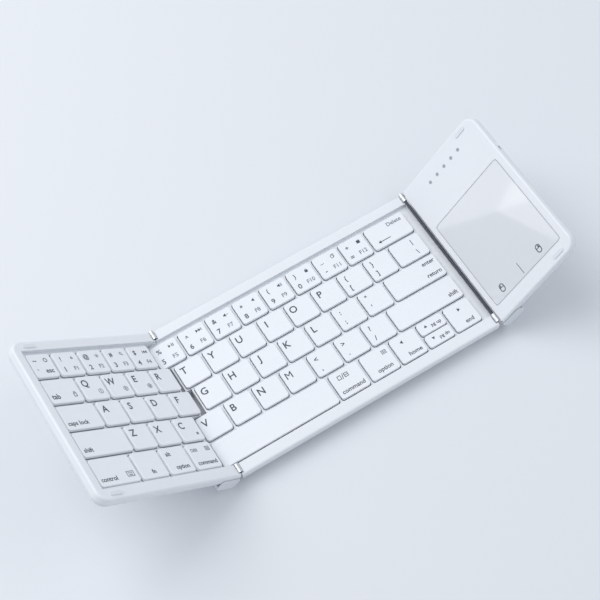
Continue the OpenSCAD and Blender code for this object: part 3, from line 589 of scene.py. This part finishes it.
icons = {
    "play": [triangle(-0.7, 0.6, 0.8), box(0.1, -0.4, 0.25, 0.4), box(0.45, -0.4, 0.6, 0.4)],
    "next": [triangle(-0.8, 0.6, 0.8), triangle(-0.15, 0.6, 0.8), box(0.5, -0.4, 0.62, 0.4)],
    "back": [triangle(0.8, -0.6, 0.8), triangle(0.15, -0.6, 0.8), box(-0.62, -0.4, -0.5, 0.4)],
    "mute": speaker(0.0) + [box(0.3, -0.06, 0.75, 0.06)],
    "quiet": speaker(0.0),
    "loud": speaker(-0.1) + ringOf(-0.1, 0, 0.42, 0.1, -45, 45, 8) + ringOf(-0.1, 0, 0.68, 0.1, -45, 45, 8),
    "lock": [box(-0.38, -0.5, 0.38, 0.1)] + ringOf(0, 0.1, 0.3, 0.12, 0, 180, 10),
    "copy": frameOf(-0.45, -0.5, 0.25, 0.3, 0.1) + [box(-0.15, 0.4, 0.45, 0.5), box(0.35, -0.3, 0.45, 0.4)],
    "window": [box(-0.42, -0.42, 0.42, 0.42)],
    "longLeft": [triangle(-0.9, -0.7, 0.9), box(-0.9, -0.09, 1.9, 0.09)],
    "left": [triangle(0.3, -0.7, 0.9)],
    "right": [triangle(-0.3, 0.7, 0.9)],
    "up": [[(-0.45, -0.35), (0.45, -0.35), (0, 0.4)]],
    "down": [[(-0.45, 0.35), (0, -0.4), (0.45, 0.35)]],
    "screens": frameOf(-1.0, -0.4, -0.3, 0.4, 0.1) + [[(-0.2, -0.5), (-0.08, -0.5), (0.2, 0.5), (0.08, 0.5)]]
        + frameOf(0.3, -0.4, 1.05, 0.4, 0.1) + [box(0.45, -0.06, 0.9, 0.06)],
    "menu": frameOf(-0.55, -0.45, 0.55, 0.45, 0.1)
        + [box(-0.35, 0.08, 0.35, 0.18), box(-0.35, -0.18, 0.35, -0.08)],
    "circle": ringOf(0, 0, 0.45, 0.13),
    "dim": ringOf(0, 0, 0.3, 0.14),
    "bright": ringOf(0, 0, 0.26, 0.12)
        + [disc(*onCircle(0, 0, 0.48, math.radians(a)), 0.07, 6) for a in range(0, 360, 45)],
    "search": ringOf(-0.1, 0.1, 0.34, 0.11) + [[(0.1, -0.18), (0.2, -0.08), (0.5, -0.4), (0.4, -0.5)]],
    "box1": ringOf(0, 0, 0.5, 0.1) + [box(-0.06, -0.28, 0.06, 0.28)],
    "box2": ringOf(0, 0, 0.5, 0.1) + [box(-0.16, -0.28, -0.05, 0.28), box(0.05, -0.28, 0.16, 0.28)],
    "box3": ringOf(0, 0, 0.5, 0.1) + [box(-0.24, -0.26, -0.14, 0.26), box(-0.05, -0.26, 0.05, 0.26),
                                      box(0.14, -0.26, 0.24, 0.26)],
    "plug": frameOf(-0.3, -0.5, 0.3, 0.2, 0.1) + [box(-0.18, 0.2, -0.08, 0.5), box(0.08, 0.2, 0.18, 0.5)],
    "keys": frameOf(-0.6, -0.4, 0.6, 0.4, 0.09) + [box(-0.35, 0.05, -0.2, 0.2), box(-0.08, 0.05, 0.08, 0.2),
                                                  box(0.2, 0.05, 0.35, 0.2), box(-0.3, -0.22, 0.3, -0.1)],
}

inkValues = {
    "above": 0.012,  # mm that the ink stands above the cap, over its hollow
    "below": 0.1,  # mm that it reaches into the cap, so that it touches all over
    "boldness": 0.016,  # how far each stroke is widened, on a capital one unit tall
    "letterFill": 0.72,  # share of a font's size that a capital is tall
}
glyphStore = {}


def iconMesh(name):
    vertices, faces = [], []
    for outline in icons[name]:
        n = len(outline)
        first = len(vertices)
        vertices += [(x, y, 0) for x, y in outline] + [(x, y, -1) for x, y in outline]
        faces.append(tuple(first + i for i in range(n)))
        faces.append(tuple(first + n + i for i in reversed(range(n))))
        for i in range(n):
            j = (i + 1) % n
            faces.append((first + j, first + i, first + n + i, first + n + j))
    return vertices, faces


def textMesh(text):
    data = bpy.data.curves.new("glyph", "FONT")
    data.body = text
    data.size = 1 / inkValues["letterFill"]
    data.extrude = 0.5
    data.offset = 0 if text == "M" else inkValues["boldness"]  # its narrow notches close up when widened
    data.resolution_u = 3
    holder = bpy.data.objects.new("glyph", data)
    bpy.context.collection.objects.link(holder)
    mesh = bpy.data.meshes.new_from_object(holder.evaluated_get(bpy.context.evaluated_depsgraph_get()))
    vertices = [(v.co.x, v.co.y, v.co.z - 0.5) for v in mesh.vertices]
    faces = [tuple(p.vertices) for p in mesh.polygons]
    bpy.data.objects.remove(holder)
    bpy.data.curves.remove(data)
    bpy.data.meshes.remove(mesh)
    return vertices, faces


def glyph(text):
    if text not in glyphStore:
        glyphStore[text] = iconMesh(text[5:]) if text.startswith("icon:") else textMesh(text)
    return glyphStore[text]


def placeGlyph(out, text, x, y, top, height, align):
    vertices, faces = glyph(text)
    low = min(v[0] for v in vertices)
    high = max(v[0] for v in vertices)
    shift = {"CENTER": -(low + high) / 2, "LEFT": -low, "RIGHT": -high}[align]
    bottom = min(v[1] for v in vertices)
    ceiling = max(v[1] for v in vertices)
    middle = (bottom + ceiling) / 2 if len(text) == 1 or text.startswith("icon:") else 0.36
    if text in "-_`~'\",.":
        middle = 0.36
    first = len(out[0])
    depth = (inkValues["above"] + inkValues["below"]) * mm
    for vx, vy, vz in vertices:
        level = top + inkValues["above"] * mm + vz * depth
        out[0].append((x + (vx + shift) * height, y + (vy - middle) * height, level))
    out[1].extend(tuple(first + i for i in face) for face in faces)


def makeLegends(nodeName, wing, keys):
    drawn = {"ink": ([], []), "paleInk": ([], [])}
    for key, marks in zip(keys, keyLegends[nodeName]):
        x, y, w, d, low, high = key
        for text, across, down, height, ink, align in marks:
            placeGlyph(drawn[ink], text, x + w * across, y + d * (1 - down), high, height * mm, align)
    for ink, (vertices, faces) in drawn.items():
        if vertices:
            piece = meshFromData(ink + "_" + nodeName, vertices, faces, finishes[ink])
            piece.data.transform(flatToRest[wing])
            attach(piece, nodeName)


def makeKeys():
    tree = capTree()
    first = keyIslands("space_bar", flatToRest["base"])[0]
    template = capTemplate(first[5] - first[4])
    leftBodies = [joint["child"] for joint in joints.values() if joint["parent"] == "left_wing"]
    for nodeName in keyLegends:
        wing = "left_wing" if nodeName in leftBodies else "base"
        keys = makeCaps(nodeName, wing, template, tree)
        makeLegends(nodeName, wing, keys)
    bpy.data.objects.remove(template)


makeKeys()
print("keys and legends made")


# Touchpad wing printing, in the flat frame of the right wing

hingeX = joints["right_wing_fold"]["pos_m"][0]
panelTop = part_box("centre_top_cover")[1][2]

padValues = {
    "mouseX": (14.7, 46.4),  # mm from the hinge axis
    "mouseY": -35.4,
    "mouseHeight": 4.8,
    "dividerX": 30.6,
    "dividerY": (-39.1, -31.8),
    "dividerWidth": 0.35,
    "borderInset": 0.1,
    "borderWidth": 0.28,
    "indicatorRing": (0.62, 1.1),  # mm, radii of the dark surround printed about each light
}


def mouseOutline(button):
    # A mouse seen from above, with one of its buttons filled
    body = ringOf(0, 0.16, 0.36, 0.11, 0, 180, 14) + ringOf(0, -0.16, 0.36, 0.11, 180, 360, 14)
    body += [box(-0.36, -0.16, -0.25, 0.16), box(0.25, -0.16, 0.36, 0.16), box(-0.25, 0.03, 0.25, 0.12)]
    side = -1 if button == "left" else 1
    corners = ((0.03, 0.12), (0.22, 0.12), (0.2, 0.24), (0.12, 0.34), (0.03, 0.38))
    fan = [(across * side, up) for across, up in corners]
    return body + [fan if side > 0 else list(reversed(fan))]


icons["mouseLeft"] = mouseOutline("left")
icons["mouseRight"] = mouseOutline("right")


def finishPrint(name, drawn, ink, body):
    piece = meshFromData(name, drawn[0], drawn[1], finishes[ink])
    piece.data.transform(flatToRest["right_wing"])
    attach(piece, body)


def makePadPrinting():
    values = padValues
    marks = ([], [])
    for x, name in zip(values["mouseX"], ("icon:mouseLeft", "icon:mouseRight")):
        placeGlyph(marks, name, hingeX + x * mm, values["mouseY"] * mm, panelTop,
                   values["mouseHeight"] * mm, "CENTER")
    low, high = values["dividerY"]
    halfLine = values["dividerWidth"] / (high - low) / 2
    icons["divider"] = [box(-halfLine, -0.5, halfLine, 0.5)]
    placeGlyph(marks, "icon:divider", hingeX + values["dividerX"] * mm, (low + high) / 2 * mm, panelTop,
               (high - low) * mm, "CENTER")
    finishPrint("touchpadMarks", marks, "ink", "touchpad")
    makePadBorder()
    makeIndicatorRings()


def flatIslands(nodeName):
    # Each solid of a node on the right wing as its lowest and highest corner in the flat frame
    solids = keyIslands(nodeName, flatToRest["right_wing"])
    return [((x, y), (x + w, y + d)) for x, y, w, d, low, high in solids]


def makePadBorder():
    # The thin grey line round the film's edge
    (x0, y0), (x1, y1) = flatIslands("touchpad_plate")[0]
    unit = y1 - y0
    inset = padValues["borderInset"] * mm / unit
    halfWidth = (x1 - x0) / unit / 2 - inset
    halfDepth = 0.5 - inset
    lineWidth = padValues["borderWidth"] * mm / unit
    icons["padBorder"] = frameOf(-halfWidth, -halfDepth, halfWidth, halfDepth, lineWidth)
    border = ([], [])
    placeGlyph(border, "icon:padBorder", (x0 + x1) / 2, (y0 + y1) / 2, panelTop, unit, "CENTER")
    finishPrint("touchpadBorder", border, "borderInk", "touchpad")


def makeIndicatorRings():
    inner, outer = padValues["indicatorRing"]
    icons["indicator"] = ringOf(0, 0, 0.5, 0.5 * (1 - inner / outer))
    rings = ([], [])
    for low, high in flatIslands("indicator_light_guides"):
        placeGlyph(rings, "icon:indicator", (low[0] + high[0]) / 2, (low[1] + high[1]) / 2, panelTop,
                   2 * outer * mm, "CENTER")
    finishPrint("indicatorMarks", rings, "borderInk", "right_wing")


makePadPrinting()
print("touchpad wing printed")


# Stage and light

stageValues = {
    "floorSize": 6.0,
    "floorColour": "#e4e7eb",
}


def makeStage():
    floorZ = cadBox[0][2]
    half = stageValues["floorSize"] / 2
    material, tree, shader = newMaterial("paleFloor", stageValues["floorColour"], 0.6)
    corners = [(x, y, floorZ) for x, y in box(-half, -half, half, half)]
    floor = meshFromData("floor", corners, [(0, 1, 2, 3)], material)


lightValues = {
    "key": {"place": (-0.55, 0.75, 1.25), "size": 1.2, "power": 13.0, "colour": "#ffffff"},
    "fill": {"place": (0.9, -0.5, 1.1), "size": 1.0, "power": 3.0, "colour": "#f4f7fc"},
    "padLeft": {  # this strip and the next are what gleams in the back of the touchpad
        "place": (-0.944, 0.517, 0.301), "target": (0.109, -0.003, 0.039), "turn": -105.1,
        "size": 0.173, "depth": 0.170, "power": 0.1, "colour": "#ffffff"},
    "padRight": {
        "place": (-0.958, 0.422, 0.401), "target": (0.109, -0.003, 0.039), "turn": 29.3,
        "size": 0.108, "depth": 0.170, "power": 0.07, "colour": "#ffffff"},
    "world": {"colour": "#e6ebf2", "strength": 0.66},
}


def areaLight(name, values):
    data = bpy.data.lights.new(name, "AREA")
    data.energy = values["power"]
    data.shape = "RECTANGLE"
    data.size = values["size"]
    data.size_y = values.get("depth", values["size"])
    data.color = linearColour(values["colour"])[:3]
    light = bpy.data.objects.new(name, data)
    place = Vector(values["place"])
    aim = (Vector(values.get("target", (0, 0, 0))) - place).to_track_quat("-Z", "Y").to_matrix().to_4x4()
    turn = Matrix.Rotation(math.radians(values.get("turn", 0)), 4, "Z")
    light.matrix_world = Matrix.Translation(place) @ aim @ turn
    bpy.context.collection.objects.link(light)


def makeLights():
    areaLight("keySoftbox", lightValues["key"])
    areaLight("fillSoftbox", lightValues["fill"])
    areaLight("padStripLeft", lightValues["padLeft"])
    areaLight("padStripRight", lightValues["padRight"])
    world = bpy.data.worlds.new("paleStudio")
    bpy.context.scene.world = world
    world.use_nodes = True
    background = world.node_tree.nodes["Background"]
    background.inputs["Color"].default_value = linearColour(lightValues["world"]["colour"])
    background.inputs["Strength"].default_value = lightValues["world"]["strength"]


makeStage()
makeLights()
bpy.context.scene.view_settings.view_transform = "Standard"
print("stage lit")
